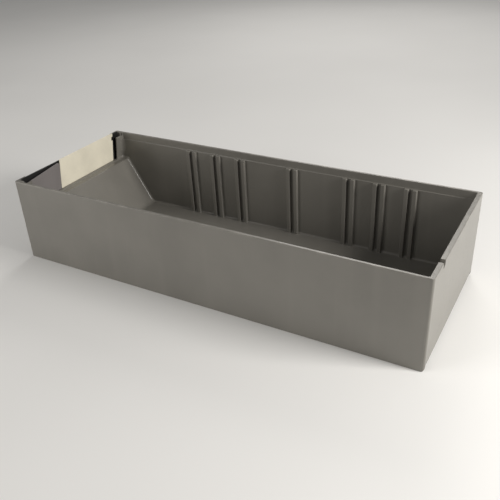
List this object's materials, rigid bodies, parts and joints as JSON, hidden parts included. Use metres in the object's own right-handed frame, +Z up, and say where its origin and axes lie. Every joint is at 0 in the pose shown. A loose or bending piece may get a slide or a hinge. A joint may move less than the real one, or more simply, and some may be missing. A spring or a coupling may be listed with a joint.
{
  "type": "stackable storage bin",
  "caption": "Long open-topped plastic shelf bin with divider ribs on both long walls, a ramp and a leaning label pocket at one end, and a plain end.",
  "frame": {"origin": "level with the undersides of the runners, under the middle of the bin's plan", "axes": "+X from the label end to the plain end, +Y to the far long wall, +Z up"},
  "size_m": [0.4, 0.152, 0.0856],
  "materials": {
    "bin_plastic": "satin moulded polypropylene",
    "carrier_plastic": "dark satin plastic",
    "clear_plastic": "clear rigid film",
    "card_paper": "uncoated cream card",
    "blank_plastic": "satin grey strip"
  },
  "bodies": {
    "bin": {"bin_body": "bin_plastic"},
    "carrier": {"label_carrier": "carrier_plastic", "label_window": "clear_plastic"},
    "card": {"label_card": "card_paper"},
    "blank": {"label_blank": "blank_plastic"}
  },
  "joints": [
    {"name": "carrier_slide", "type": "slide", "parent": "bin", "child": "carrier", "axis": [0.0698, 0, 0.9976], "range_m": [0, 0.028]},
    {"name": "card_slide", "type": "slide", "parent": "bin", "child": "card", "axis": [0.1392, 0, 0.9903], "range_m": [0, 0.028]},
    {"name": "blank_slide", "type": "slide", "parent": "bin", "child": "blank", "axis": [0.1392, 0, 0.9903], "range_m": [0, 0.028]}
  ]
}
